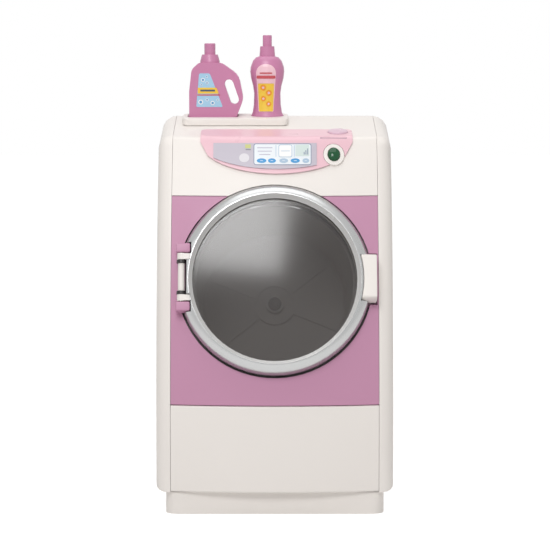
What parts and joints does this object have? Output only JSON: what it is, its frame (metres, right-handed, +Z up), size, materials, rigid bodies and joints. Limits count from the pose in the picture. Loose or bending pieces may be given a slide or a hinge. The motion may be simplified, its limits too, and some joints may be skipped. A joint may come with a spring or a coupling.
{
  "type": "toy washing machine",
  "caption": "Toy front loading washing machine with a turning drum, hinged round door, start button, lamp and two lift-off toy bottles on a top tray.",
  "frame": {"origin": "on the floor plane, on the plinth's flat underside, under the middle of the drum opening's width; Y = 0 lies 83 mm behind the foremost line of the front", "axes": "+Z up, the front with its door looks towards -Y, +X is to the right as seen from the front"},
  "size_m": [0.2, 0.1914, 0.401],
  "materials": {
    "white_abs": "moulded white ABS, soft gloss",
    "mauve_abs": "moulded mauve ABS, soft gloss",
    "pink_abs": "moulded pale pink ABS, soft gloss",
    "bottle_plastic": "blow moulded pink plastic, soft gloss",
    "silver_abs": "ABS with a satin silver coat",
    "smoke_clear": "smoke tinted clear plastic, polished",
    "grey_abs": "grey ABS, fine matt",
    "drum_grey": "warm grey moulded plastic",
    "black_plastic": "black moulded plastic",
    "steel": "plated steel",
    "nylon": "natural nylon",
    "board_green": "printed circuit board with a green mask",
    "label_grey": "printed plastic label",
    "lamp_green": "dark green clear plastic, polished",
    "cell_jacket": "printed metal jacket"
  },
  "bodies": {
    "cabinet": {"side_panel_left": "white_abs", "side_panel_right": "white_abs", "top_cover": "white_abs", "lower_panel": "white_abs", "base_plinth": "white_abs", "rear_panel": "white_abs", "bottle_tray": "white_abs", "hinge_barrel": "white_abs", "front_panel": "mauve_abs", "control_console": "pink_abs", "lamp_led": "smoke_clear", "opening_collar": "grey_abs", "door_catch": "grey_abs", "gearbox_case": "grey_abs", "gearbox_cover": "grey_abs", "hinge_washer_upper": "black_plastic", "hinge_washer_lower": "black_plastic", "start_switch": "black_plastic", "battery_box": "black_plastic", "power_switch": "black_plastic", "hinge_pin": "steel", "shaft_bush": "steel", "motor": "steel", "idler_pin": "steel", "rear_screw_1": "steel", "rear_screw_2": "steel", "rear_screw_3": "steel", "rear_screw_4": "steel", "drum_carrier": "nylon", "circuit_board": "board_green", "display_label": "label_grey", "lamp_lens": "lamp_green", "battery_cell_1": "cell_jacket", "battery_cell_2": "cell_jacket", "battery_cell_3": "cell_jacket"},
    "door": {"door_ring": "silver_abs", "door_window": "smoke_clear", "window_retainer": "white_abs", "door_handle": "white_abs", "door_latch": "white_abs", "hinge_arm_upper": "white_abs", "hinge_arm_lower": "white_abs"},
    "drum": {"drum_tub": "drum_grey", "drum_shaft": "steel", "shaft_clip": "steel", "drum_gear": "nylon"},
    "idler": {"idler_gear": "nylon"},
    "pinion": {"motor_pinion": "nylon"},
    "button": {"start_button": "bottle_plastic"},
    "knob": {"switch_knob": "black_plastic"},
    "battery_lid": {"battery_door": "white_abs", "battery_door_screw": "steel"},
    "jug": {"jug_bottle": "bottle_plastic"},
    "softener": {"softener_bottle": "bottle_plastic"}
  },
  "joints": [
    {"name": "door_hinge", "type": "hinge", "parent": "cabinet", "child": "door", "pos_m": [-0.07825, -0.06251, 0.19904], "axis": [0, -0.2756, -0.9613], "range_deg": [0, 110]},
    {"name": "drum_spin", "type": "hinge", "parent": "cabinet", "child": "drum", "pos_m": [0, -0.05421, 0.19531], "axis": [0, -0.9613, 0.2756], "continuous": true},
    {"name": "idler_spin", "type": "hinge", "parent": "cabinet", "child": "idler", "pos_m": [0, -0.06083, 0.17224], "axis": [0, -0.9613, 0.2756], "continuous": true},
    {"name": "pinion_spin", "type": "hinge", "parent": "cabinet", "child": "pinion", "pos_m": [0, -0.0659, 0.15455], "axis": [0, -0.9613, 0.2756], "continuous": true},
    {"name": "start_button_press", "type": "slide", "parent": "cabinet", "child": "button", "axis": [0, 0.1942, -0.981], "range_m": [0, 0.002], "stiffness_N_per_m": 600, "springref_m": -0.001},
    {"name": "power_switch_slide", "type": "slide", "parent": "cabinet", "child": "knob", "axis": [1, 0, 0], "range_m": [0, 0.004]},
    {"name": "battery_door_off", "type": "slide", "parent": "cabinet", "child": "battery_lid", "axis": [0, 1, 0], "range_m": [0, 0.03]},
    {"name": "jug_lift", "type": "slide", "parent": "cabinet", "child": "jug", "axis": [0, 0, 1], "range_m": [0, 0.04]},
    {"name": "softener_lift", "type": "slide", "parent": "cabinet", "child": "softener", "axis": [0, 0, 1], "range_m": [0, 0.04]}
  ],
  "couplings": [
    {"joint": "idler_spin", "follows": "drum_spin", "ratio": -4},
    {"joint": "pinion_spin", "follows": "drum_spin", "ratio": 14.4}
  ]
}
